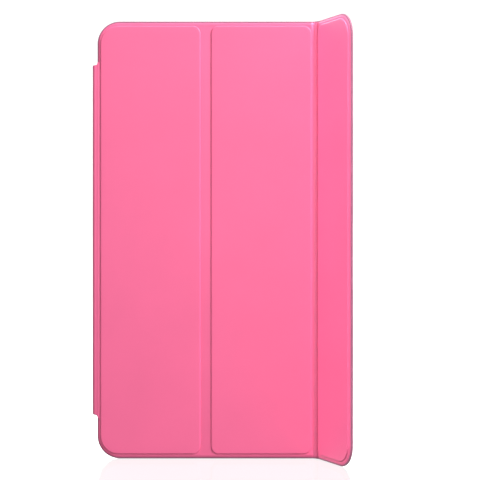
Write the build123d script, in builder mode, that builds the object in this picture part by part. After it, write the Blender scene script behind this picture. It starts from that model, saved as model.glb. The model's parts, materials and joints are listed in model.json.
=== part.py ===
"""Folding magnetic front cover for a small tablet, modelled standing upright.

The cover is a laminate of an outer skin, stiff boards and a soft lining, pressed together round the
boards so that three flat pads stand out of a thin border. It folds along two grooves between the pads
and along the crease beside its magnetic spine bar, which clings to the tablet's long side.

Origin: centre of the spine bar's flat inner face. +X runs from the spine to the free edge, +Y from the
cover towards the tablet, +Z up along the spine. The last panel is lifted at its fold, as for a peek at
the screen; everything else lies closed on the glass.
"""

import os
from dataclasses import dataclass
from math import cos, radians, sin

from build123d import *

os.makedirs("parts", exist_ok=True)

# Whole cover, laid flat
cover_height = 200.0
corner_radius = 10.3  # outer corners of the cover
border = 2.1  # flat laminate outside the pads, at the top, the bottom and the free edge
spine_border = 1.3  # the same beside the spine
edge_setback = 0.2  # from the spine's inner face to the cover's edge above and below the bar

# Pads and the grooves between them
pad_widths = (45.8, 45.9, 28.5)
groove = 4.8
pad_outer_radius = 8.3
pad_inner_radius = 3.5  # at the grooves
pad_bevel = 45.0  # degrees, the slope of a pad's side

# Laminate
skin_thick = 0.6
board_thick = 1.0
lining_thick = 0.6
board_inset = 0.6  # from the pad's foot to the board's edge
seat_gap = 0.05  # round everything that sits in a pocket

# Folds: each has two parallel creases, and a narrow strip of laminate between them
crease_spacing = 2.8
spine_crease_spacing = 2.2
strip_gap = 0.6  # from a crease to the strip's edge
panel_gap = 0.9  # from a crease to the panel's edge
peek_angle = 66.0  # how far the last panel is lifted

# Spine bar
spine_length = 160.0
spine_depth = 6.4
spine_thick = 2.1
spine_round = 1.2
spine_end_round = 0.7
spine_skin_thick = 0.5
spine_face_thick = 0.4
keeper_thick = 0.3
keeper_side_gap = 0.5  # from the keeper's long edges to the walls of the bar's cavity
keeper_end_gap = 3.5
glass_gap = 0.4  # from the face's front edge to the plane of the tablet's glass
notch_gap = 0.4  # between the bar's ends and the cover's edge above and below it

# Magnets and steel
spine_magnet = (4.0, 10.0)  # depth, height
spine_magnet_pitch = 12.0
spine_magnet_middle_gap = 5.0  # from mid-height to the first magnet of each half
spine_magnet_end_gap = 4.0  # least space from the last magnet to the end of the cavity
stand_magnet = (4.0, 12.0)  # width, height
stand_magnet_pitch = 20.0
stand_magnet_count = 6
closure_magnet = (4.0, 9.0)
closure_magnet_setback = 19.9  # from the pad's top and bottom to the magnets' middles
wake_magnet_radius = 2.5
wake_magnet_place = (8.0, 37.9)  # in from the last pad's fold side, down from its top
magnet_edge_gap = 1.5  # from the board's free edge to the magnets beside it
steel_thick = 0.5
steel_width = 7.0
steel_end_gap = 27.9  # from the pad's top and bottom to the strip's ends
steel_edge_gap = 2.5  # from the first board's spine edge to the strip

# Derived sizes
emboss = board_thick / 2
pad_height = cover_height - 2 * border
steel_length = pad_height - 2 * steel_end_gap
magnet_thick = board_thick - 2 * seat_gap
laminate_outer = skin_thick
pad_face = skin_thick + emboss
lining_face = lining_thick + emboss
middle_y = -(spine_depth / 2 + glass_gap + lining_face)
spine_crease_x = -(spine_thick - laminate_outer)
first_crease_x = spine_crease_x + spine_crease_spacing
first_pad_x = edge_setback + spine_border
groove_side = (groove - crease_spacing) / 2  # from a pad's foot to the crease beside it


def leaf_plane(x, y, angle):
    """Plane at mid-laminate through (x, y): local X across the cover, local Z outwards.

    The angle is how far the leaf is turned outwards from closed, in degrees.
    """
    turn = radians(angle)
    return Plane((x, y, 0), x_dir=(cos(turn), -sin(turn), 0), z_dir=(-sin(turn), -cos(turn), 0))


def turned_over(plane):
    """The same plane seen from the lining side."""
    return Plane(plane.origin, x_dir=plane.x_dir, z_dir=-plane.z_dir)


def beyond(plane, distance, turn=0.0):
    """The leaf plane that starts further across the cover, turned outwards from the given one."""
    start = plane.origin + plane.x_dir * distance
    angle = Vector(1, 0, 0).get_signed_angle(plane.x_dir, Vector(0, 0, -1))
    return leaf_plane(start.X, start.Y, angle + turn)


def plate(start, end, height, start_radius, end_radius):
    """Flat outline from start to end across the cover, with a corner radius of its own at each end."""
    with BuildSketch(Plane.XY, mode=Mode.PRIVATE) as outline:
        with Locations(((start + end) / 2, 0)):
            Rectangle(end - start, height)
        for side, radius in ((0, start_radius), (-1, end_radius)):
            if radius > 0:
                fillet(outline.vertices().group_by(Axis.X)[side], radius)
    return outline.sketch


def save(name, piece):
    piece.part.label = name
    export_step(piece.part, f"parts/{name}.step")


@dataclass
class Panel:
    """One stiffened panel. Its plane starts at the pad's foot on the spine side."""

    name: str
    plane: Plane
    width: float  # of the pad
    before: float  # laminate before the pad
    after: float  # laminate after the pad
    start_radii: tuple  # corner radii of the laminate and the pad, spine side
    end_radii: tuple
    spine_side: bool = False
    pockets: tuple = ()  # outlines cut through the board

    def outline(self):
        return plate(
            -self.before, self.width + self.after, cover_height, self.start_radii[0], self.end_radii[0]
        )

    def pad(self, inset=0.0):
        """The pad's outline, or one drawn inside it."""
        radii = [max(r[1] - inset, 0) for r in (self.start_radii, self.end_radii)]
        return plate(inset, self.width - inset, pad_height - 2 * inset, *radii)


# Leaves in order from the spine
strip_fold_spine = leaf_plane(spine_crease_x, middle_y, 0)
plane_1 = leaf_plane(first_pad_x, middle_y, 0)
strip_fold_1 = beyond(plane_1, pad_widths[0] + groove_side)
plane_2 = beyond(strip_fold_1, crease_spacing + groove_side)
strip_fold_2 = beyond(plane_2, pad_widths[1] + groove_side, peek_angle / 2)
last_crease = beyond(strip_fold_2, crease_spacing, peek_angle / 2)
plane_3 = beyond(last_crease, groove_side)

fold_side = groove_side - panel_gap
fold_radii = (0, pad_inner_radius)
outer_radii = (corner_radius, pad_outer_radius)


def magnet_row(width, height, pitch, count):
    """Outlines of a row of magnets up the middle of the cover, centred on x = 0."""
    with BuildSketch(Plane.XY, mode=Mode.PRIVATE) as row:
        with GridLocations(0, pitch, 1, count):
            Rectangle(width, height)
    return row.sketch


def stand_magnets_outline(gap=0.0):
    width, height = stand_magnet
    row = magnet_row(width + 2 * gap, height + 2 * gap, stand_magnet_pitch, stand_magnet_count)
    return Pos(magnets_x, 0) * row


def closure_magnets_outline(gap=0.0):
    width, height = closure_magnet
    apart = pad_height - 2 * closure_magnet_setback
    pair = magnet_row(width + 2 * gap, height + 2 * gap, apart, 2)
    return Pos(magnets_x, 0) * pair


def wake_magnet_outline(gap=0.0):
    across, down = wake_magnet_place
    return Pos(across, pad_height / 2 - down) * Circle(wake_magnet_radius + gap, mode=Mode.PRIVATE)


magnets_x = pad_widths[2] - board_inset - magnet_edge_gap - stand_magnet[0] / 2

panel_1 = Panel(
    "panel_1", plane_1, pad_widths[0], spine_border, fold_side, outer_radii, fold_radii, spine_side=True
)
panel_2 = Panel("panel_2", plane_2, pad_widths[1], fold_side, fold_side, fold_radii, fold_radii)
panel_3 = Panel(
    "panel_3",
    plane_3,
    pad_widths[2],
    fold_side,
    border,
    fold_radii,
    outer_radii,
    pockets=(stand_magnets_outline, closure_magnets_outline, wake_magnet_outline),
)

steel_plane = beyond(plane_1, board_inset + steel_edge_gap + steel_width / 2)


# Panels: pressed skin outside, pressed lining inside, board between them. Both sheets have a flat
# border, a raised pad, and a seat for the board under the pad
for panel in (panel_1, panel_2, panel_3):
    for side, plane, thick in (
        ("skin", panel.plane, skin_thick),
        ("lining", turned_over(panel.plane), lining_thick),
    ):
        with BuildPart() as sheet:
            with BuildSketch(plane):
                add(panel.outline())
            extrude(amount=thick)
            with BuildSketch(plane.offset(thick)):
                add(panel.pad())
            extrude(amount=emboss, taper=pad_bevel)
            with BuildSketch(plane):
                add(panel.pad(board_inset - seat_gap))
            extrude(amount=emboss, mode=Mode.SUBTRACT)
            if panel.spine_side:
                with BuildSketch(plane):
                    with Locations((-panel.before / 2, 0)):
                        Rectangle(panel.before, spine_length + 2 * notch_gap)
                extrude(amount=thick, mode=Mode.SUBTRACT)
        save(f"{panel.name}_{side}", sheet)

    with BuildPart() as board:
        with BuildSketch(panel.plane):
            add(panel.pad(board_inset))
            for pocket in panel.pockets:
                add(pocket(seat_gap), mode=Mode.SUBTRACT)
        extrude(amount=board_thick / 2, both=True)
        if panel.spine_side:
            with BuildSketch(steel_plane.offset(-board_thick / 2)):
                Rectangle(steel_width + 2 * seat_gap, steel_length + 2 * seat_gap)
            extrude(amount=steel_thick + seat_gap, mode=Mode.SUBTRACT)
    save(f"{panel.name}_board", board)

# Steel strip that the last panel's magnets hold on to when the cover is folded into a stand
with BuildPart() as steel_strip:
    with BuildSketch(steel_plane.offset(-board_thick / 2)):
        Rectangle(steel_width, steel_length)
    extrude(amount=steel_thick)
save("stand_steel_strip", steel_strip)

# Magnets of the last panel, each a flat block or disc in a window of the board
for name, outline in (
    ("stand_magnets", stand_magnets_outline),
    ("closure_magnets", closure_magnets_outline),
    ("wake_magnet", wake_magnet_outline),
):
    with BuildPart() as magnets:
        with BuildSketch(panel_3.plane.offset(-magnet_thick / 2)):
            add(outline())
        extrude(amount=magnet_thick)
    save(name, magnets)

# Narrow strips of bare laminate between the two creases of each fold
for name, plane, spacing, length in (
    ("spine_fold", strip_fold_spine, spine_crease_spacing, spine_length),
    ("fold_1", strip_fold_1, crease_spacing, cover_height),
    ("fold_2", strip_fold_2, crease_spacing, cover_height),
):
    for side, side_plane, thick in (
        ("skin", plane, skin_thick),
        ("lining", turned_over(plane), lining_thick),
    ):
        with BuildPart() as strip:
            with BuildSketch(side_plane):
                with Locations((spacing / 2, 0)):
                    Rectangle(spacing - 2 * strip_gap, length)
            extrude(amount=thick)
        save(f"{name}_{side}", strip)

# Spine bar, from the outside in: skin, steel keeper, moulded carrier with its magnets, soft face
bar_front = middle_y + panel_gap
bar_back = spine_depth / 2
face_front = -spine_depth / 2
carrier_outer = spine_skin_thick + keeper_thick - spine_thick
cavity_depth = spine_depth - 2 * spine_skin_thick
cavity_length = spine_length - 2 * spine_skin_thick

with BuildPart() as spine_skin:
    with BuildSketch(Plane.XY) as section:
        with BuildLine():
            Polyline(
                (-spine_thick, bar_front),
                (spine_crease_x + laminate_outer, bar_front),
                (-spine_face_thick, face_front),
                (-spine_face_thick, bar_back),
                (-spine_thick, bar_back),
                close=True,
            )
        make_face()
        fillet(section.vertices().sort_by_distance((-spine_thick, bar_back))[0], spine_round)
    extrude(amount=spine_length / 2, both=True)
    # seen from the front, the bar's outer corners are slightly rounded
    with BuildSketch(Plane.XZ) as front_view:
        with Locations((-spine_thick / 2, 0)):
            Rectangle(spine_thick, spine_length)
        fillet(front_view.vertices().group_by(Axis.X)[0], spine_end_round)
    extrude(amount=2 * spine_depth, both=True, mode=Mode.INTERSECT)
    with BuildSketch(Plane.YZ.offset(spine_skin_thick - spine_thick)):
        Rectangle(cavity_depth, cavity_length)
    extrude(amount=spine_thick, mode=Mode.SUBTRACT)
save("spine_skin", spine_skin)

with BuildPart() as spine_keeper:
    with BuildSketch(Plane.YZ.offset(spine_skin_thick - spine_thick)):
        Rectangle(cavity_depth - 2 * keeper_side_gap, cavity_length - 2 * keeper_end_gap)
    extrude(amount=keeper_thick)
save("spine_keeper", spine_keeper)

carrier_thick = -spine_face_thick - carrier_outer
magnet_room = cavity_length / 2 - spine_magnet_end_gap - spine_magnet_middle_gap
magnet_space = spine_magnet_pitch - spine_magnet[1]
spine_magnet_count = int((magnet_room + magnet_space) / spine_magnet_pitch)
magnet_run = spine_magnet_count * spine_magnet_pitch - magnet_space


def spine_magnet_outline(half, gap=0.0):
    """Outlines of the magnets in the upper half (1) or the lower half (-1) of the bar."""
    width, height = spine_magnet
    row = magnet_row(width + 2 * gap, height + 2 * gap, spine_magnet_pitch, spine_magnet_count)
    return Pos(0, half * (spine_magnet_middle_gap + magnet_run / 2)) * row


with BuildPart() as spine_carrier:
    with BuildSketch(Plane.YZ.offset(carrier_outer)):
        Rectangle(cavity_depth - 2 * seat_gap, cavity_length - 2 * seat_gap)
        for half in (1, -1):
            add(spine_magnet_outline(half, seat_gap), mode=Mode.SUBTRACT)
    extrude(amount=carrier_thick)
save("spine_carrier", spine_carrier)

for name, half in (("spine_magnets_upper", 1), ("spine_magnets_lower", -1)):
    with BuildPart() as magnets:
        with BuildSketch(Plane.YZ.offset(carrier_outer)):
            add(spine_magnet_outline(half))
        extrude(amount=carrier_thick)
    save(name, magnets)

with BuildPart() as spine_face:
    with BuildSketch(Plane.YZ.offset(-spine_face_thick)):
        Rectangle(spine_depth, spine_length)
    extrude(amount=spine_face_thick)
save("spine_face", spine_face)
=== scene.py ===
"""The looks of a folding magnetic tablet cover: moulded skin outside, soft cloth inside, and a spine bar."""

import json
from math import cos, pi, radians, sin

import bmesh
import bpy
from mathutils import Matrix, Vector

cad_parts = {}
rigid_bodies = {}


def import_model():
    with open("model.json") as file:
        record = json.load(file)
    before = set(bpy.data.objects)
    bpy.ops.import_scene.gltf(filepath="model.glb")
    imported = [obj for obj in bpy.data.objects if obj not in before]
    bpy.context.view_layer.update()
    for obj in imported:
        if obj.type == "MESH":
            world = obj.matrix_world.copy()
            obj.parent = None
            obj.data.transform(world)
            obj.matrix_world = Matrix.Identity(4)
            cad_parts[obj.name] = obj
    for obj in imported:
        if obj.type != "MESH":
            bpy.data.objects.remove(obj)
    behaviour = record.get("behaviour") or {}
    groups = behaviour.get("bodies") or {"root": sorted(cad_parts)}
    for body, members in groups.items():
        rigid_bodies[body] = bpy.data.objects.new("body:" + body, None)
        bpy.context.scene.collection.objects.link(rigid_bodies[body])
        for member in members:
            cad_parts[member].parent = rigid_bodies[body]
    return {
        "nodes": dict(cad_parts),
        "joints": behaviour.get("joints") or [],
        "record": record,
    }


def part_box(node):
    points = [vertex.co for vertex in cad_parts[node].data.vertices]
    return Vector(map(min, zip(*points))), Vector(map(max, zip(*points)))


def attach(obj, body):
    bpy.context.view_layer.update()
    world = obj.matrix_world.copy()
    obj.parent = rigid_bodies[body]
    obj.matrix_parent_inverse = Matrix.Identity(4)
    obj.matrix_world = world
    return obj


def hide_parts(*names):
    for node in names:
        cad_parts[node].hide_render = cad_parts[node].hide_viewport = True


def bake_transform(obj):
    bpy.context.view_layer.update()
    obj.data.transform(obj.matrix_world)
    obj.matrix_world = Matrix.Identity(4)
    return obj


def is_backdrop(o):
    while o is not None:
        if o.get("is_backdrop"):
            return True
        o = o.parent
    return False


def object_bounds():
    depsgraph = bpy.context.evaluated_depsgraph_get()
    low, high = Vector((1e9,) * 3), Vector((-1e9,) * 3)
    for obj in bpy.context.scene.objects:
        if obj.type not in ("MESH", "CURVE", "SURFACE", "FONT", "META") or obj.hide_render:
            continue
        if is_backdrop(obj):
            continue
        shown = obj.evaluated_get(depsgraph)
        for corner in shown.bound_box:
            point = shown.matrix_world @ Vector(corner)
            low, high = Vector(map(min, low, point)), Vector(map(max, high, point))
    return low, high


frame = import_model()

bl_info = {
    "name": "Tablet cover",
    "version": (1, 0, 0),
    "blender": (4, 5, 0),
    "location": "View3D > Sidebar > Tablet cover",
    "description": "Builds the skin, cloth and spine of a folding tablet cover round its CAD frame",
    "category": "Object",
}

MM = 0.001
CORNER_STEPS = 16  # even, so that a square corner has a point at its tip
EDGE_STEPS = 6
END_RIM = 2  # the step of the spine's rounded ends where their sealed rim, darkened with painted shade, starts
BEND_STEPS = 26
REST_STEPS = 60  # rounds that settle a bent fold on its own smooth step
TENT_SIDES = 96
ROOM_STEPS = 16  # steps round the tent's hollow corners
SHARP_ANGLE = radians(52)  # edges that turn by more than this are shaded as sharp
TINY = 1e-7  # edges shorter than this are merged away

SMALLEST_CORNER = 0.4 * MM
NOTCH_LEAD = 0.5 * MM  # a pad's side has points this far past the part that bends beside the spine
SLOPE_SHARE = 0.7  # how much of a narrow border its slope may take
FOOT_SHARE = 0.9  # how much of the gap beside it a pad's foot may spread over
HOLLOW_SHARE = 1.1  # how far inside its foot a pad is hollow, in skin thicknesses
LEAST_SLOPE = 0.02  # the share of its slope that an edge keeps where it is plain
SLOPE_FADE = 0.2 * MM  # over this length a plain edge gets its slope
SEAM_RISE = 0.3 * MM  # from the spine bar's foot to the seam with its fold
CLOTH_BEND = 0.96  # the cloth's bend radius, as a share of the room inside the skin
CLOTH_OVERLAP = 0.02 * MM
FACE_CORNER = 0.6  # the spine face's corner radius, as a share of the spine's rounding
FACE_TAPER = 0.8  # how fast that radius shrinks with the rounding of its border
FACE_FLAT = 2  # how far in the spine face's last ring lies, in roundings of its border
SIDE_STEPS = 3  # steps along the spine's straight outer side
BACK_STEPS = 10  # steps round the spine bar's rear corner
OUTER_STEPS = 14  # steps round the outside of the skin's bend beside the spine
INNER_STEPS = 8  # steps round the inside of that bend, and along the straight part beside it


# ---------------------------------------------------------------- settings


def linear(code):
    """A colour as linear RGBA, from its sRGB hex code."""
    parts = [int(code[i : i + 2], 16) / 255 for i in (0, 2, 4)]
    return (*[c / 12.92 if c <= 0.04045 else ((c + 0.055) / 1.055) ** 2.4 for c in parts], 1.0)


def length(name, description, default_mm):
    """A length setting, given in millimetres and held in metres."""
    return bpy.props.FloatProperty(
        name=name, description=description, default=default_mm * MM, min=0.0, unit="LENGTH", precision=5
    )


def colour(name, description, code):
    """A colour setting, given as an sRGB hex code."""
    return bpy.props.FloatVectorProperty(
        name=name, description=description, default=linear(code), size=4, min=0.0, max=1.0, subtype="COLOR"
    )


class CoverSettings(bpy.types.PropertyGroup):
    """Sizes and colours that the looks need beside the frame's sizes."""

    skin: length("Skin", "Thickness of the moulded skin, and of the cloth", 0.6)
    border: length("Border", "Flat border from a free edge to the pad", 2.1)
    spine_border: length("Spine border", "Flat border beside the spine", 1.3)
    foot_gap: length("Foot gap", "From a pad's foot to the seam with the fold", 0.1)
    corner: length("Corner", "Radius of the cover's corners", 10.3)
    pad_outer: length("Outer pad corner", "Radius of a pad's corners at a free edge", 8.3)
    pad_inner: length("Inner pad corner", "Radius of a pad's corners at a fold", 3.5)
    skin_edge_width: length("Skin edge width", "How far in the skin's edge starts to slope", 1.5)
    skin_edge_depth: length("Skin edge depth", "How far the slope takes the skin's edge down", 0.52)
    cloth_edge: length("Cloth edge", "Rounding of the cloth's cut edge", 0.3)
    spine_end: length("Spine end", "Rounding of the spine bar's ends", 0.45)
    notch_reach: length("Notch reach", "Half height of the part that bends beside the spine", 81.4)
    notch_depth: length("Notch depth", "How far that part reaches into the first panel", 1.2)
    step_fillet: length("Step fillet", "Hollow rounding where the spine's end meets the edge", 1.3)
    spine_round: length("Spine rounding", "Radius of the spine bar's outer corners", 1.2)
    spine_split: length("Spine split", "Where the spine's fold halves meet, from the far crease", 0.75)
    face_round: length("Face rounding", "Rounding of the spine face's border", 0.25)
    skin_colour: colour("Skin colour", "The moulded skin", "FC6B9B")
    # the rim colour is partly the sealing paint and partly painted shade, darker where the edge rounds away
    rim_colour: colour("Rim colour", "The cut and sealed edges", "AA6581")
    cloth_colour: colour("Cloth colour", "The microfibre inside", "EC6593")
    board_colour: colour("Board colour", "The stiff boards in the panels", "EEECE4")
    carrier_colour: colour("Carrier colour", "The moulding that holds the spine's magnets", "3A3A3D")


class StageSettings(bpy.types.PropertyGroup):
    """The studio round the cover."""

    view_distance: length("Camera distance", "From the camera to the folded-flat panels", 613.0)
    view_across: length("Camera across", "The camera's place along the cover's width", 65.4)
    lens: bpy.props.FloatProperty(
        name="Lens", description="Focal length in millimetres", default=100.4, min=1.0,
        subtype="DISTANCE_CAMERA",
    )
    tent_radius: length("Tent radius", "From the middle of the pale floor to the tent's wall", 2600.0)
    tent_height: length("Tent height", "From the floor to the tent's roof", 3600.0)
    tent_fillet: length("Tent fillet", "Hollow rounding from the wall to the floor and roof", 1200.0)
    paper_colour: colour("Paper colour", "The studio paper of the tent", "3C3C3C")
    brightness: bpy.props.FloatProperty(
        name="Brightness", description="Share of every lamp's power that is used", default=1.0, min=0.0
    )


# ---------------------------------------------------------------- materials


def add(tree, kind, settings=None, links=None):
    """Adds a node. A setting's name is an input's name or number, or else the node's own property."""
    node = tree.nodes.new(kind)
    for name, value in (settings or {}).items():
        if isinstance(name, int) or name in node.inputs:
            node.inputs[name].default_value = value
        else:
            setattr(node, name, value)
    for name, source in (links or {}).items():
        tree.links.new(source, node.inputs[name])
    return node


def period(millimetres):
    """The texture scale whose pattern repeats about every so many millimetres."""
    return 1 / (millimetres * MM)


def empty_tree(made):
    """The node tree of a new material, with nothing in it."""
    made.use_nodes = True
    made.node_tree.nodes.clear()
    return made.node_tree


def surface(name, base, shade, rough, grain, grain_depth, wave, wave_depth, stretch=(1, 1, 1), **shader):
    """A material of mottled colour, uneven roughness, and a bump of fine grain on slow waves.

    Its colour runs from base to base times shade. rough is (lowest, highest). grain, wave and their depths
    are in millimetres. stretch scales the grain's pattern along x, y and z: below 1 draws it out.
    """
    made = bpy.data.materials.new(name)
    tree = empty_tree(made)
    place = add(tree, "ShaderNodeTexCoord").outputs["Object"]
    pulled = add(tree, "ShaderNodeMapping", {"Scale": stretch}, {"Vector": place}).outputs["Vector"]
    mottle = add(tree, "ShaderNodeTexNoise", {"Scale": period(wave * 2.3), "Detail": 3.0}, {"Vector": place})
    fine = add(
        tree,
        "ShaderNodeTexNoise",
        {"Scale": period(grain), "Detail": 4.0, "Roughness": 0.6},
        {"Vector": pulled},
    )
    cells = add(
        tree,
        "ShaderNodeTexVoronoi",
        {"Scale": period(grain * 2.2), "feature": "SMOOTH_F1"},
        {"Vector": pulled},
    )
    slow = add(tree, "ShaderNodeTexNoise", {"Scale": period(wave), "Detail": 2.0}, {"Vector": place})
    both = add(
        tree, "ShaderNodeMath", {"operation": "ADD"}, {0: fine.outputs["Fac"], 1: cells.outputs["Distance"]}
    )
    patch = add(
        tree,
        "ShaderNodeMath",
        {"operation": "MULTIPLY_ADD", 1: 0.35},
        {0: fine.outputs["Fac"], 2: mottle.outputs["Fac"]},
    )
    share = add(tree, "ShaderNodeMapRange", {"From Min": 0.35, "From Max": 1.0}, {"Value": patch.outputs[0]})
    mixed = add(
        tree,
        "ShaderNodeMix",
        {"data_type": "RGBA", 6: (*[part * shade for part in base[:3]], 1.0), 7: tuple(base)},
        {0: share.outputs[0]},
    )
    uneven = add(
        tree,
        "ShaderNodeMapRange",
        {"From Min": 0.3, "From Max": 0.7, "To Min": rough[0], "To Max": rough[1]},
        {"Value": mottle.outputs["Fac"]},
    )
    waves = add(
        tree,
        "ShaderNodeBump",
        {"Strength": 1.0, "Distance": wave_depth * MM},
        {"Height": slow.outputs["Fac"]},
    )
    grains = add(
        tree,
        "ShaderNodeBump",
        {"Strength": 1.0, "Distance": grain_depth * MM},
        {"Height": both.outputs[0], "Normal": waves.outputs[0]},
    )
    principled = add(
        tree,
        "ShaderNodeBsdfPrincipled",
        {key.replace("_", " "): value for key, value in shader.items()},
        {"Base Color": mixed.outputs[2], "Roughness": uneven.outputs[0], "Normal": grains.outputs[0]},
    )
    add(tree, "ShaderNodeOutputMaterial", links={"Surface": principled.outputs[0]})
    return made


def moulded_polyurethane():
    """Moulded over the boards: even colour, a soft satin shine, and a grain that a finger just feels."""
    # the grain is near 0.1 mm on the real skin, and drawn twice as coarse so that it breaks up the shine
    return surface(
        "moulded_polyurethane", bpy.context.scene.tablet_cover.skin_colour, 0.93, (0.4, 0.46),
        grain=0.22, grain_depth=0.004, wave=14.0, wave_depth=0.02,
        Specular_IOR_Level=0.42, Sheen_Weight=0.05, Sheen_Roughness=0.5,
    )


def cut_sealed_edge():
    """Layers cut by a die and sealed with a wiped-on paint: a greyer line, darkened further as painted shade
    where the edge rounds away at the outline, with faint drag marks along it.
    """
    return surface(
        "cut_sealed_edge", bpy.context.scene.tablet_cover.rim_colour, 0.84, (0.42, 0.55),
        grain=0.15, grain_depth=0.006, wave=6.0, wave_depth=0.01, stretch=(1.0, 1.0, 0.3),
        Specular_IOR_Level=0.35,
    )


def brushed_microfibre():
    """Polyester microfibre brushed along the cover's height: dull, with a pale nap where light grazes it."""
    # the fibres are near 0.01 mm, and the nap is drawn in tufts of half a millimetre so that it can be seen
    return surface(
        "brushed_microfibre", bpy.context.scene.tablet_cover.cloth_colour, 0.85, (0.86, 0.96),
        grain=0.5, grain_depth=0.06, wave=1.7, wave_depth=0.04, stretch=(1.0, 1.0, 0.3),
        Specular_IOR_Level=0.2, Sheen_Weight=0.45, Sheen_Roughness=0.4, Sheen_Tint=linear("FFC4D8"),
    )


def pressed_glass_fibre_board():
    """Glass-fibre board pressed flat: off-white, half dull, with long fibres that show as faint streaks."""
    # the fibres are near 0.02 mm, and are drawn as bundles of half a millimetre
    return surface(
        "pressed_glass_fibre_board", bpy.context.scene.tablet_cover.board_colour, 0.89, (0.55, 0.7),
        grain=0.5, grain_depth=0.015, wave=9.0, wave_depth=0.02, stretch=(1.0, 1.0, 0.2),
        Specular_IOR_Level=0.4,
    )


def moulded_polycarbonate():
    """Injection-moulded polycarbonate: dark grey, with the even satin texture of its mould."""
    return surface(
        "moulded_polycarbonate", bpy.context.scene.tablet_cover.carrier_colour, 0.77, (0.4, 0.5),
        grain=0.3, grain_depth=0.006, wave=8.0, wave_depth=0.01, Specular_IOR_Level=0.5,
    )


def nickel_plated_magnet():
    """Sintered magnet, tumbled and nickel plated: a warm grey metal with a soft mirror and slight pits."""
    return surface(
        "nickel_plated_magnet", linear("CFCDC8"), 0.89, (0.18, 0.28),
        grain=0.2, grain_depth=0.002, wave=4.0, wave_depth=0.005, Metallic=1.0,
    )


def cold_rolled_steel():
    """Spring steel rolled cold along its length: a cool grey metal with long rolling lines."""
    return surface(
        "cold_rolled_steel", linear("B4B6B8"), 0.82, (0.28, 0.4),
        grain=0.1, grain_depth=0.003, wave=6.0, wave_depth=0.006, stretch=(1.0, 1.0, 0.04),
        Metallic=1.0, Anisotropic=0.5,
    )


def material(maker):
    """The material that maker makes, made only the first time it is asked for."""
    return bpy.data.materials.get(maker.__name__) or maker()


def studio_paper():
    """Seamless rolled paper, lit from behind: white, with a faint gloss that mirrors what stands on it."""
    made = bpy.data.materials.new("studio_paper")
    tree = empty_tree(made)
    place = add(tree, "ShaderNodeTexCoord").outputs["Object"]
    fibre = add(tree, "ShaderNodeTexNoise", {"Scale": period(1.2), "Detail": 3.0}, {"Vector": place})
    bump = add(
        tree, "ShaderNodeBump", {"Strength": 0.2, "Distance": 0.01 * MM}, {"Height": fibre.outputs["Fac"]}
    )
    matte = add(
        tree,
        "ShaderNodeBsdfPrincipled",
        {
            "Base Color": tuple(bpy.context.scene.tablet_stage.paper_colour),
            "Roughness": 0.9,
            "Specular IOR Level": 0.1,
            "Emission Color": linear("FFFFFF"),
            "Emission Strength": 1.08,
        },
        {"Normal": bump.outputs[0]},
    )
    gloss = add(tree, "ShaderNodeBsdfGlossy", {"Color": linear("FFFFFF"), "Roughness": 0.12})
    mixed = add(tree, "ShaderNodeMixShader", {0: 0.25}, {1: matte.outputs[0], 2: gloss.outputs[0]})
    add(tree, "ShaderNodeOutputMaterial", links={"Surface": mixed.outputs[0]})
    return made


# ---------------------------------------------------------------- meshes


class Plane:
    """A flat stretch of the cover: u runs across it from `start`, v stands out of it, towards the viewer."""

    def __init__(self, start, angle):
        self.start = Vector((start[0], start[1]))
        self.across = Vector((cos(angle), -sin(angle)))
        self.out = Vector((-sin(angle), -cos(angle)))

    def point(self, u, v, z):
        """The row-frame point at (u, v, z)."""
        flat = self.start + self.across * u + self.out * v
        return Vector((flat.x, flat.y, z))

    def span(self, node):
        """Where a CAD node starts and ends along u."""
        corners = frame["nodes"][node].data.vertices
        found = [(Vector((corner.co.x, corner.co.y)) - self.start).dot(self.across) for corner in corners]
        return min(found), max(found)


def quarter(steps=EDGE_STEPS):
    """(sine, cosine) at even steps round a quarter turn, from 0."""
    return [(sin(i * pi / 2 / steps), cos(i * pi / 2 / steps)) for i in range(steps + 1)]


def closed_mesh(name, rings, looks, edge_rings=()):
    """A mesh that joins rings of points, in order, with flat caps on the first and last.

    looks are its materials: the first for all of it, the second for the bands that start at edge_rings.
    """
    work = bmesh.new()
    made = [[work.verts.new(p) for p in ring] for ring in rings]
    count = len(rings[0])
    for number, (one, two) in enumerate(zip(made, made[1:])):
        for i in range(count):
            j = (i + 1) % count
            face = work.faces.new((one[i], one[j], two[j], two[i]))
            face.material_index = 1 if number in edge_rings else 0
    work.faces.new(made[0])
    work.faces.new(made[-1])
    bmesh.ops.dissolve_degenerate(work, dist=TINY, edges=work.edges)
    bmesh.ops.recalc_face_normals(work, faces=work.faces)
    for face in work.faces:
        face.smooth = True
    mesh = bpy.data.meshes.new(name)
    work.to_mesh(mesh)
    work.free()
    mesh.set_sharp_from_angle(angle=SHARP_ANGLE)
    for look in looks:
        mesh.materials.append(material(look))
    piece = bpy.data.objects.new(name, mesh)
    bpy.context.scene.collection.objects.link(piece)
    return piece


def loop(low, high, bottom, top, radii, square=(False, False), left_points=()):
    """Points round a rectangle, from its lower left corner. radii and square are for its (left, right) side.

    A square corner has as many points as a round one. left_points are more points, down its left side.
    """
    points = []
    sides = [
        (0, 180, low, bottom, 1, 1), (1, 270, high, bottom, -1, 1),
        (1, 0, high, top, -1, -1), (0, 90, low, top, 1, -1),
    ]
    for side, first, x, z, inward, upward in sides:
        radius = radii[side]
        centre = (x + inward * radius, z + upward * radius)
        for i in range(CORNER_STEPS + 1):
            angle = radians(first + 90 * i / CORNER_STEPS)
            c, s = cos(angle), sin(angle)
            reach = radius / max(abs(c), abs(s)) if square[side] else radius
            points.append((centre[0] + c * reach, centre[1] + s * reach))
    return points + list(left_points)


# how far in from its foot a pad has risen by what share of its height
PAD_RISE = [
    (-0.3, 0.0), (-0.1, 0.0), (-0.04, 0.03), (0.02, 0.12), (0.09, 0.36), (0.16, 0.62), (0.23, 0.79),
    (0.33, 0.88), (0.5, 0.925), (0.9, 0.955), (1.6, 0.975), (2.8, 0.99), (4.2, 1.0),
]
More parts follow.
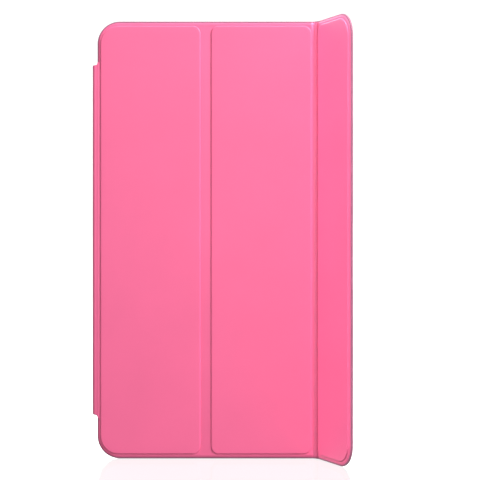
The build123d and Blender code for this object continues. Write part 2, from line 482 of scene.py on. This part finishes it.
# the slope of the skin's edge, as (inwards, down) shares of its width and depth
SKIN_EDGE = [
    (1.0, 0.0), (0.9, 0.04), (0.8, 0.14), (0.68, 0.28), (0.56, 0.42), (0.46, 0.53), (0.34, 0.62),
    (0.2, 0.7), (0.1, 0.78), (0.04, 0.88), (0.0, 1.0),
]
SKIN_RIM = 5  # the point of SKIN_EDGE where the sealed rim, darkened with painted shade, starts
CLOTH_RIM = 2


def rounded(radius):
    """A rounded edge as (inwards, down) points."""
    return [(radius * (1 - sine), radius * (1 - cosine)) for sine, cosine in quarter()]


def edge_of(side):
    """A layer's edge as (inwards, down) points, and the one where its sealed rim, darkened with painted
    shade, starts.
    """
    s = bpy.context.scene.tablet_cover
    if side == 1:
        width, depth = s.skin_edge_width, s.skin_edge_depth
        return [(inwards * width, down * depth) for inwards, down in SKIN_EDGE], SKIN_RIM
    return rounded(s.cloth_edge), CLOTH_RIM


def panel_layer(name, plane, edges, side, looks, folds, notch=None):
    """The skin (side 1) or the cloth (side -1) of a panel: border, moulded pad and cut edge.

    edges are where it starts and ends along u, and folds says which of the two are folds.
    """
    s = bpy.context.scene.tablet_cover
    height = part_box("panel_1_skin")[1].z
    pad_height = abs(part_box("panel_1_skin")[0].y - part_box("fold_1_skin")[0].y)
    start, end = edges
    borders = [s.foot_gap if fold else (s.spine_border if notch else s.border) for fold in folds]
    free = [s.foot_gap if fold or notch else s.border for fold in folds]
    pad_radii = [s.pad_inner if fold else s.pad_outer for fold in folds]
    reach = s.notch_reach
    profile, rim = edge_of(side)
    # beside the spine the border is narrower, and its slope with it
    narrow = min(1.0, SLOPE_SHARE * borders[0] / profile[0][0])

    def pad_ring(inset, v):
        left_in, right_in = [max(inset, -FOOT_SHARE * gap) for gap in free]
        x0, x1 = start + borders[0] + left_in, end - borders[1] - right_in
        z1 = height - s.border - inset
        radii = [max(r - inset, SMALLEST_CORNER) for r in pad_radii]
        left = [(x0, z) for z in (reach + NOTCH_LEAD, reach, -reach, -reach - NOTCH_LEAD)] if notch else ()
        return [plane.point(u, side * v, z) for u, z in loop(x0, x1, -z1, z1, radii, left_points=left)]

    def edge_ring(inset, v):
        x0 = start if folds[0] else start + inset * narrow
        x1 = end if folds[1] else end - inset
        z1 = height - inset
        radii = [s.pad_inner if fold else s.corner - inset for fold in folds]
        left = [(x0, reach), (start + notch, reach), (start + notch, -reach), (x0, -reach)] if notch else ()
        return [plane.point(u, side * v, z) for u, z in loop(x0, x1, -z1, z1, radii, folds, left)]

    rings = [pad_ring(inset * MM, s.skin + share * pad_height) for inset, share in reversed(PAD_RISE)]
    first_edge = len(rings)
    rings += [edge_ring(inset, s.skin - drop) for inset, drop in profile]
    rings.append(edge_ring(0, 0))
    last_edge = len(rings) - 1
    hollow = s.skin * HOLLOW_SHARE
    rings += [pad_ring(hollow, 0), pad_ring(hollow, pad_height)]
    # from its rim outwards the edge takes the sealed-edge material, darkened with painted shade
    return closed_mesh(name, rings, looks, range(first_edge + rim, last_edge))


def fold_half(name, stations, side, looks, edge, place):
    """Half of a fold's skin or cloth, swept along stations of (u, reach, share of the edge's slope).

    edge is (points, rim) as edge_of gives it, and place(u, v, z) gives the point in the row frame.
    """
    thick = bpy.context.scene.tablet_cover.skin
    points, rim = edge
    rings = []
    for u, reach, share in stations:
        share = max(share, LEAST_SLOPE)
        slope = [(thick - down * share, reach - inwards * share) for inwards, down in reversed(points)]
        half = [(0.0, reach), *slope]
        rings.append([place(u, side * v, z) for v, z in half + [(v, -z) for v, z in reversed(half)]])
    piece = closed_mesh(name, rings, looks)
    # the faces along the two cut ends, out to the rim's first point, take the second material: the sealed
    # edge darkened with painted shade
    count, rim_steps = len(rings[0]), len(points) - rim
    band = {i for i in range(rim_steps)} | {count - 2 - i for i in range(rim_steps)}
    for face in piece.data.polygons:
        places = sorted({v % count for v in face.vertices})
        if len(places) == 2 and places[1] - places[0] == 1 and places[0] in band:
            face.material_index = 1
    return piece


def smooth_share(t):
    """The smooth step that a fold's points are turned by."""
    t = min(max(t, 0.0), 1.0)
    return t * t * (3 - 2 * t)


def turned(point, pivot, angle):
    """The point turned about a crease, outwards by angle."""
    x, y = point.x - pivot[0], point.y - pivot[1]
    c, s = cos(angle), sin(angle)
    return Vector((pivot[0] + x * c + y * s, pivot[1] - x * s + y * c, point.z))


def settled(flat, pivot, angle, start, end):
    """Where a point of a flat fold lies when the fold rests bent, turned by the smooth step of its place
    along the fold, so that turning it back the same way would flatten it again.
    """
    line = end - start
    point = flat
    for _ in range(REST_STEPS):
        t = Vector((point.x - start.x, point.y - start.y)).dot(line) / line.length_squared
        point = turned(flat, pivot, angle * smooth_share(t))
    return point


# ---------------------------------------------------------------- pieces


def crease(name):
    """(x, y) of a crease of the record."""
    found = next(j for j in frame["joints"] if j["name"] == name)
    return Vector((found["pos_m"][0], found["pos_m"][1]))


def rest_angle():
    """How far each crease of the second fold is turned outwards at rest."""
    line = crease("fold_2_far") - crease("fold_2_near")
    return Vector((1, 0)).angle(line)


def planes():
    """The planes of the first two panels and of the last one."""
    flat = Plane((0, crease("fold_1_near").y), 0)
    last = Plane(crease("fold_2_far"), 2 * rest_angle())
    return flat, last


# by side: the CAD layer, the word in the names of its pieces, and its materials
LAYERS = {
    1: ("skin", "cover", (moulded_polyurethane, cut_sealed_edge)),
    -1: ("lining", "cloth", (brushed_microfibre, cut_sealed_edge)),
}


class TABLETCOVER_OT_panels(bpy.types.Operator):
    """Builds the three panels, each with its moulded skin and its cloth"""

    bl_idname = "tabletcover.panels"
    bl_label = "Panels"

    def execute(self, context):
        s = context.scene.tablet_cover
        flat, last = planes()
        panels = ((1, flat, (False, True)), (2, flat, (True, True)), (3, last, (True, False)))
        for number, plane, folds in panels:
            for side, (layer, word, looks) in LAYERS.items():
                node = f"panel_{number}_{layer}"
                piece = panel_layer(
                    f"panel_{number}_{word}", plane, plane.span(node), side, looks, folds,
                    s.notch_depth if number == 1 else None,
                )
                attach(piece, f"panel_{number}")
                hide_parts(node)
        return {"FINISHED"}


def bend_fold(number):
    """Both halves of a fold between two panels, on both sides."""
    flat, last = planes()
    near, far = crease(f"fold_{number}_near"), crease(f"fold_{number}_far")
    angle = rest_angle() if number == 2 else 0.0
    spread = (far - near).length
    foot_near = flat.span(f"panel_{number}_skin")[1]
    next_plane = last if number == 2 else flat
    foot_far = next_plane.span(f"panel_{number + 1}_skin")[0]
    past_far = foot_far - (far - next_plane.start).dot(next_plane.across)
    middle_u, end_u = near.x + spread / 2, near.x + spread + past_far
    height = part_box("panel_1_skin")[1].z
    start = flat.point(foot_near, 0, 0).to_2d()
    middle = turned(flat.point(middle_u, 0, 0), near, angle).to_2d()
    end = next_plane.point(foot_far, 0, 0).to_2d()

    def near_place(u, v, z):
        return settled(flat.point(u, v, z), near, angle, start, middle)

    def far_place(u, v, z):
        lifted = turned(flat.point(u, v, z), near, angle)
        return settled(lifted, far, angle, middle, end)

    halves = (
        ("near", foot_near, middle_u, near_place, f"panel_{number}", f"fold_{number}", start, middle),
        ("far", middle_u, end_u, far_place, f"fold_{number}", f"panel_{number + 1}", middle, end),
    )
    for half, first, final, place, one, two, blend_start, blend_end in halves:
        stations = [
            (first + (final - first) * i / BEND_STEPS, height, 1.0) for i in range(BEND_STEPS + 1)
        ]
        for side, (layer, word, looks) in LAYERS.items():
            piece = fold_half(f"fold_{number}_{word}_{half}", stations, side, looks, edge_of(side), place)
            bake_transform(piece)
            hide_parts(f"fold_{number}_{layer}")


class TABLETCOVER_OT_folds(bpy.types.Operator):
    """Builds the two grooves that the cover folds along"""

    bl_idname = "tabletcover.folds"
    bl_label = "Folds"

    def execute(self, context):
        for number in (1, 2):
            bend_fold(number)
        return {"FINISHED"}


def sweep_up(name, section, looks, edge, fillet):
    """Sweeps a closed section up the cover. section(inset) has its outer side drawn in by inset at the ends.

    fillet(x) is how much further than the spine bar a point at x reaches.
    """
    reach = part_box("spine_skin")[1].z
    ends = [(reach - back, inset) for back, inset in rounded(edge)]
    levels = [(-z, inset) for z, inset in reversed(ends)] + ends
    rings = [
        [Vector((x, y, z * (1 + fillet(x) / reach))) for x, y in section(inset)] for z, inset in levels
    ]
    # the ends' bands out to the rim take the sealed edge, darkened with painted shade
    rim_steps = EDGE_STEPS - END_RIM
    return closed_mesh(
        name, rings, looks, [*range(rim_steps), *range(len(rings) - 1 - rim_steps, len(rings) - 1)]
    )


def arc(centre, radius, first, last, steps):
    """Points round an arc, angles in degrees."""
    return [
        (centre[0] + radius * cos(radians(a)), centre[1] + radius * sin(radians(a)))
        for a in [first + (last - first) * i / steps for i in range(steps + 1)]
    ]


def line(one, two, steps):
    """Points from one to two, without the first."""
    return [
        (one[0] + (two[0] - one[0]) * i / steps, one[1] + (two[1] - one[1]) * i / steps)
        for i in range(1, steps + 1)
    ]


# where the cloth turns up against the spine bar, as (x, rise) in millimetres
TUCK = [(-0.78, 0.0), (-0.88, 0.05), (-0.96, 0.14), (-1.0, 0.28)]


class TABLETCOVER_OT_spine(bpy.types.Operator):
    """Builds the spine bar, its soft face, and the fold that joins it to the first panel"""

    bl_idname = "tabletcover.spine"
    bl_label = "Spine"

    def execute(self, context):
        s = context.scene.tablet_cover
        flat, _ = planes()
        mid = flat.start.y
        low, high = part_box("spine_skin")
        face_low, face_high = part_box("spine_face")
        edge_x = flat.span("panel_1_skin")[0]
        far = crease("spine_crease_far")
        split = far.x - s.spine_split
        round_x = low.x + s.spine_round
        round_y = mid - s.skin + s.spine_round
        seam_y = low.y + SEAM_RISE

        def fillet(x):
            inward = min(max(edge_x - x, 0.0), s.step_fillet)
            return s.step_fillet - (s.step_fillet**2 - (s.step_fillet - inward) ** 2) ** 0.5

        def bar(inset):
            back = (round_x, high.y - s.spine_round)
            return [
                (low.x + inset, seam_y),
                *line((low.x + inset, seam_y), (low.x + inset, back[1]), SIDE_STEPS),
                *arc(back, s.spine_round - inset, 180, 90, BACK_STEPS)[1:],
                (face_low.x, high.y - inset),
                (face_low.x, face_low.y),
                (round_x, low.y),
                (round_x - s.skin, low.y),
                (round_x - s.skin, seam_y),
            ]

        def skin_bend(inset):
            outer = arc((round_x, round_y), s.spine_round - inset, 270, 180, OUTER_STEPS)
            inner = arc((round_x, round_y), s.spine_round - s.skin, 180, 270, INNER_STEPS)
            start = (split, mid - s.skin + inset)
            return [
                start, *line(start, outer[0], INNER_STEPS), *outer[1:],
                *line(outer[-1], (low.x + inset, seam_y), SIDE_STEPS),
                (round_x - s.skin, seam_y), *inner, (split, mid),
            ]

        def cloth_bend(inset):
            inner = arc((round_x, round_y), (s.spine_round - s.skin) * CLOTH_BEND, 270, 180, INNER_STEPS)
            top = mid + s.skin - inset
            return [
                (split, mid), *inner, (inner[-1][0], low.y - CLOTH_OVERLAP),
                *[(x * MM, top + rise * MM) for x, rise in reversed(TUCK)],
                *line((TUCK[0][0] * MM, top), (split, top), INNER_STEPS),
            ]

        skin_looks, cloth_looks = LAYERS[1][2], LAYERS[-1][2]
        spine = sweep_up("spine_cover", bar, skin_looks, s.spine_end, lambda x: 0.0)
        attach(spine, "spine")
        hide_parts("spine_skin")

        near = sweep_up("spine_fold_cover_near", skin_bend, skin_looks, s.spine_end, fillet)
        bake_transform(near)
        cloth = sweep_up("spine_fold_cloth_near", cloth_bend, cloth_looks, s.cloth_edge, fillet)
        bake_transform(cloth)
        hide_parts("spine_fold_skin")
        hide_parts("spine_fold_lining")

        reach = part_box("spine_skin")[1].z
        final = edge_x + s.notch_depth
        stations = []
        for i in range(BEND_STEPS + 1):
            x = split + (final - split) * i / BEND_STEPS
            share = min(max((edge_x - x) / SLOPE_FADE, 0.0), 1.0)
            stations.append((x, reach + fillet(x) if x < edge_x else s.notch_reach, share))
        for side, (layer, word, looks) in LAYERS.items():
            edge = (rounded(s.spine_end if side == 1 else s.cloth_edge), END_RIM)
            piece = fold_half(f"spine_fold_{word}_far", stations, side, looks, edge, flat.point)
            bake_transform(piece)
            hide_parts(f"spine_fold_{layer}")

        rings = []
        rounding = [(face_high.x - back, inset) for back, inset in rounded(s.face_round)]
        for x, inset in [(face_low.x, 0.0), *rounding, (face_high.x, s.face_round * FACE_FLAT)]:
            radius = s.spine_round * FACE_CORNER - inset * FACE_TAPER
            outline = loop(
                face_low.y + inset, face_high.y - inset, face_low.z + inset, face_high.z - inset,
                [radius] * 2,
            )
            rings.append([Vector((x, y, z)) for y, z in outline])
        face = closed_mesh("spine_face_cloth", rings, cloth_looks)
        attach(face, "spine")
        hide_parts("spine_face")
        return {"FINISHED"}


class TABLETCOVER_OT_sheets(bpy.types.Operator):
    """Reads each panel layer's span and the pieces that lie beside it, but keeps nothing of them"""

    bl_idname = "tabletcover.sheets"
    bl_label = "Sheets"

    def execute(self, context):
        flat, last = planes()
        beside = {
            1: ["spine_fold_{}_near", "spine_fold_{}_far", "fold_1_{}_near"],
            2: ["fold_1_{}_far", "fold_2_{}_near"],
            3: ["fold_2_{}_far"],
        }
        for number, plane in ((1, flat), (2, flat), (3, last)):
            for side, (layer, word, _) in LAYERS.items():
                start, end = plane.span(f"panel_{number}_{layer}")
                others = [name.format(word) for name in beside[number]]
                if number == 1:
                    others.append("spine_cover" if side == 1 else "spine_face_cloth")
        return {"FINISHED"}


class TABLETCOVER_OT_inner_parts(bpy.types.Operator):
    """Gives the boards, the carrier, the magnets and the steel parts their materials"""

    bl_idname = "tabletcover.inner_parts"
    bl_label = "Inner parts"

    def execute(self, context):
        looks = {
            "board": pressed_glass_fibre_board,
            "carrier": moulded_polycarbonate,
            "magnet": nickel_plated_magnet,
            "steel": cold_rolled_steel,
        }
        for part in frame["record"]["subparts"]:
            node = frame["nodes"][part["node"]]
            if part["material_slot"] in looks:
                node.data.materials.clear()
                node.data.materials.append(material(looks[part["material_slot"]]))
        return {"FINISHED"}


def area_light(name, place, size, power):
    """A soft square light at a place, aimed at the middle of the panels."""
    s = bpy.context.scene.tablet_stage
    low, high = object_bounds()
    aim = Vector(((low.x + high.x) / 2, planes()[0].start.y, 0))
    light = bpy.data.lights.new(name, "AREA")
    light.size, light.energy = size, power * s.brightness
    lamp = bpy.data.objects.new(name, light)
    lamp.location = place
    lamp.rotation_mode = "QUATERNION"
    lamp.rotation_quaternion = (aim - Vector(place)).to_track_quat("-Z", "Y")
    bpy.context.scene.collection.objects.link(lamp)
    return lamp


def group(name, pieces):
    """A collection of pieces, for the lights to choose from."""
    made = bpy.data.collections.new(name)
    for piece in pieces:
        made.objects.link(piece)
    return made


# each lamp's place and size in metres, its power in watts, and the one piece that it lights, or None for all
LAMPS = {
    "front_fill": ((0.25, -1.7, 0.3), 1.2, 5.3, None),
    "top_strip": ((0.2, -0.2, 1.0), 0.5, 5, None),
    "back_fill": ((-0.2, 1.5, 0.8), 1.6, 28, None),
    "key_light": ((0.72, -0.52, 0.62), 0.4, 13.5, None),
    "lifted_panel_fill": ((-0.9, -0.3, 1.0), 0.9, 23.5, "panel_3_cover"),
    "groove_fill": ((-1.2, -0.35, -0.1), 0.9, 14, "fold_2_cover_near"),
    "crease_fill": ((-1.2, -0.35, -0.1), 0.9, 4, "fold_2_cover_far"),
}
# the lifted panel and its fold cast no shadow from the key light, or they would shade the panel beside them
CAST_NO_KEY_SHADOW = ("panel_3", "fold_2")
AIR_STRENGTH = 0.2


class TABLETCOVER_OT_stage(bpy.types.Operator):
    """Builds the pale floor and its light tent, the soft lights and the camera"""

    bl_idname = "tabletcover.stage"
    bl_label = "Stage"

    def execute(self, context):
        s = context.scene.tablet_stage
        low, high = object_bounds()
        middle = (low + high) / 2
        inner = s.tent_radius - s.tent_fillet
        roof = low.z + s.tent_height
        profile = [
            (inner / 2, low.z),
            *arc((inner, low.z + s.tent_fillet), s.tent_fillet, -90, 0, ROOM_STEPS),
            *arc((inner, roof - s.tent_fillet), s.tent_fillet, 0, 90, ROOM_STEPS),
            (inner / 2, roof),
        ]
        angles = [2 * pi * i / TENT_SIDES for i in range(TENT_SIDES)]
        rings = [
            [Vector((middle.x + radius * cos(a), middle.y + radius * sin(a), z)) for a in angles]
            for radius, z in profile
        ]
        tent = closed_mesh("studio_tent", rings, (studio_paper,))
        tent.visible_diffuse = False
        tent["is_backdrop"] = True

        pieces = [p for p in context.scene.objects if "cover" in p.name or "cloth" in p.name]
        for name, (place, size, power, lit) in LAMPS.items():
            lamp = area_light(name, place, size, power)
            if lit:
                lamp.light_linking.receiver_collection = group(f"{name}_lit", [context.scene.objects[lit]])
            if name == "key_light":
                lamp.light_linking.blocker_collection = group(
                    "key_light_blockers", [p for p in pieces if not p.name.startswith(CAST_NO_KEY_SHADOW)]
                )

        world = bpy.data.worlds.new("studio_air")
        context.scene.world = world
        world.use_nodes = True
        air = world.node_tree.nodes["Background"]
        air.inputs["Color"].default_value = linear("FFFFFF")
        air.inputs["Strength"].default_value = AIR_STRENGTH

        lens = bpy.data.cameras.new("camera")
        lens.lens = s.lens
        camera = bpy.data.objects.new("camera", lens)
        plane = planes()[0].start.y
        camera.location = (s.view_across, plane - s.view_distance, 0)
        camera.rotation_euler = (pi / 2, 0, 0)
        context.scene.collection.objects.link(camera)
        context.scene.camera = camera
        context.scene.view_settings.view_transform = "Standard"
        return {"FINISHED"}


class TABLETCOVER_PT_panel(bpy.types.Panel):
    """The cover's sizes and steps in the sidebar"""

    bl_idname = "TABLETCOVER_PT_panel"
    bl_label = "Tablet cover"
    bl_space_type = "VIEW_3D"
    bl_region_type = "UI"
    bl_category = "Tablet cover"

    def draw(self, context):
        scene = context.scene
        for title, settings in (("Cover", scene.tablet_cover), ("Stage", scene.tablet_stage)):
            box = self.layout.box()
            box.label(text=title)
            for name in settings.__annotations__:
                box.prop(settings, name)
        for step in STEPS:
            self.layout.operator(step.bl_idname)


STEPS = (
    TABLETCOVER_OT_panels,
    TABLETCOVER_OT_folds,
    TABLETCOVER_OT_spine,
    TABLETCOVER_OT_sheets,
    TABLETCOVER_OT_inner_parts,
    TABLETCOVER_OT_stage,
)
CLASSES = (CoverSettings, StageSettings, *STEPS, TABLETCOVER_PT_panel)


def register():
    for cls in CLASSES:
        bpy.utils.register_class(cls)
    bpy.types.Scene.tablet_cover = bpy.props.PointerProperty(type=CoverSettings)
    bpy.types.Scene.tablet_stage = bpy.props.PointerProperty(type=StageSettings)


def unregister():
    del bpy.types.Scene.tablet_stage
    del bpy.types.Scene.tablet_cover
    for cls in reversed(CLASSES):
        bpy.utils.unregister_class(cls)


def main():
    register()
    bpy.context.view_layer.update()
    for step in STEPS:
        category, name = step.bl_idname.split(".")
        getattr(getattr(bpy.ops, category), name)()


if __name__ == "__main__":
    main()
